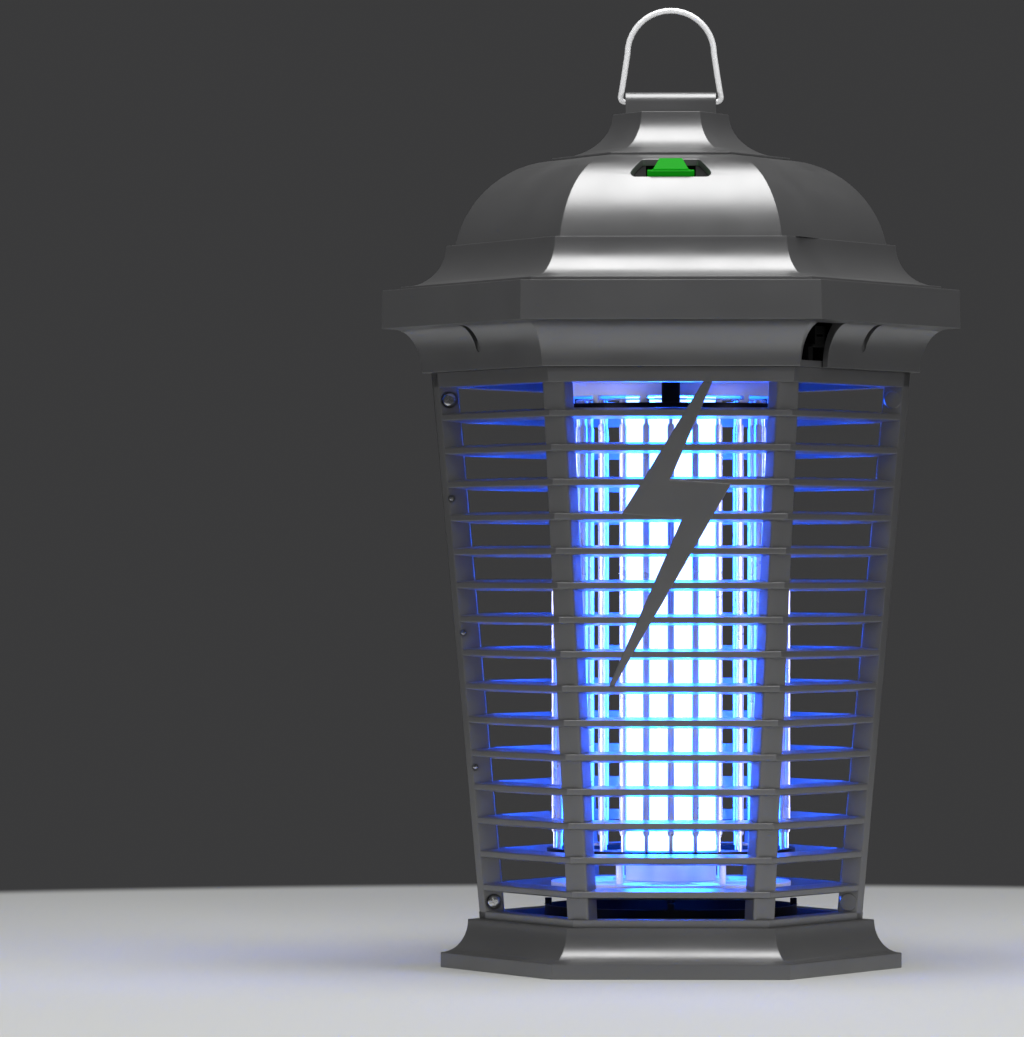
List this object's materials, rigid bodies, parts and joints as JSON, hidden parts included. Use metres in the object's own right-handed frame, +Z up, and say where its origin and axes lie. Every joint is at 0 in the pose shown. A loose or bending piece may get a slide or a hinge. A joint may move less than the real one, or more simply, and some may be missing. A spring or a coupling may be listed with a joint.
{
  "type": "electric bug zapper",
  "caption": "Six-sided lantern bug zapper: louvred cage round a glowing lamp and rod grid, stepped roof with hanging ring and green rocker, base with a twist-out catch tray",
  "frame": {"origin": "on the floor under the middle of the base", "axes": "+Z up, the front face with the emblem and the switch looks towards -Y, two corners of the hexagon lie on X"},
  "size_m": [0.2198, 0.1904, 0.3638],
  "materials": {
    "charcoal_shell": "satin moulded charcoal, faintly metallic",
    "black_plastic": "fine matt black moulding",
    "pale_plastic": "satin pale insulating moulding",
    "screw_steel": "zinc plated",
    "ring_steel": "polished bright wire",
    "grid_steel": "bright drawn rod",
    "green_rocker": "translucent green, lit from inside",
    "uv_glass": "glowing ultraviolet lamp tube",
    "board": "glass-fibre board with solder mask",
    "winding": "taped winding",
    "capacitor_sleeve": "shrunk sleeve",
    "ballast_case": "painted case",
    "lead_insulation": "silicone insulation"
  },
  "bodies": {
    "body": {"base_plinth": "charcoal_shell", "base_screws": "screw_steel", "front_cage_frame": "charcoal_shell", "front_louvres": "charcoal_shell", "front_left_louvres": "charcoal_shell", "front_right_louvres": "charcoal_shell", "rear_cage_frame": "charcoal_shell", "rear_louvres": "charcoal_shell", "rear_left_louvres": "charcoal_shell", "rear_right_louvres": "charcoal_shell", "lightning_bolt": "charcoal_shell", "flange_screws": "screw_steel", "flange_pins": "screw_steel", "upper_housing": "charcoal_shell", "ceiling_plate": "charcoal_shell", "ceiling_screws": "screw_steel", "mains_inlet": "black_plastic", "roof_skirt": "charcoal_shell", "roof_dome": "charcoal_shell", "roof_screws": "screw_steel", "cupola_cap": "charcoal_shell", "hanger_lug": "charcoal_shell", "hanger_screw": "screw_steel", "switch_bezel": "black_plastic", "switch_body": "black_plastic", "lamp_collar": "pale_plastic", "lamp_socket": "pale_plastic", "lamp_base": "pale_plastic", "lamp_tubes": "uv_glass", "lamp_end_cap": "pale_plastic", "grid_hangers": "black_plastic", "top_grid_plate": "black_plastic", "outer_grid_rods": "grid_steel", "inner_grid_rods": "grid_steel", "bottom_grid_plate": "black_plastic", "outer_bus_ring": "grid_steel", "inner_bus_ring": "grid_steel", "grid_leads": "lead_insulation", "spacer_posts": "pale_plastic", "bottom_spider": "pale_plastic", "circuit_board": "board", "board_spacers": "pale_plastic", "hv_transformer": "winding", "capacitors": "capacitor_sleeve", "lamp_ballast": "ballast_case"},
    "tray": {"catch_tray": "black_plastic"},
    "rocker": {"power_rocker": "green_rocker"},
    "ring": {"hanging_ring": "ring_steel"}
  },
  "joints": [
    {"name": "tray_twist", "type": "hinge", "parent": "body", "child": "tray", "pos_m": [0, 0, 0.012], "axis": [0, 0, 1], "range_deg": [0, 32]},
    {"name": "rocker_tilt", "type": "hinge", "parent": "body", "child": "rocker", "pos_m": [0, -0.05181, 0.29385], "axis": [1, 0, 0], "range_deg": [-14, 0]},
    {"name": "ring_swing", "type": "hinge", "parent": "body", "child": "ring", "pos_m": [0, 0, 0.328], "axis": [1, 0, 0], "range_deg": [-98, 98]}
  ]
}
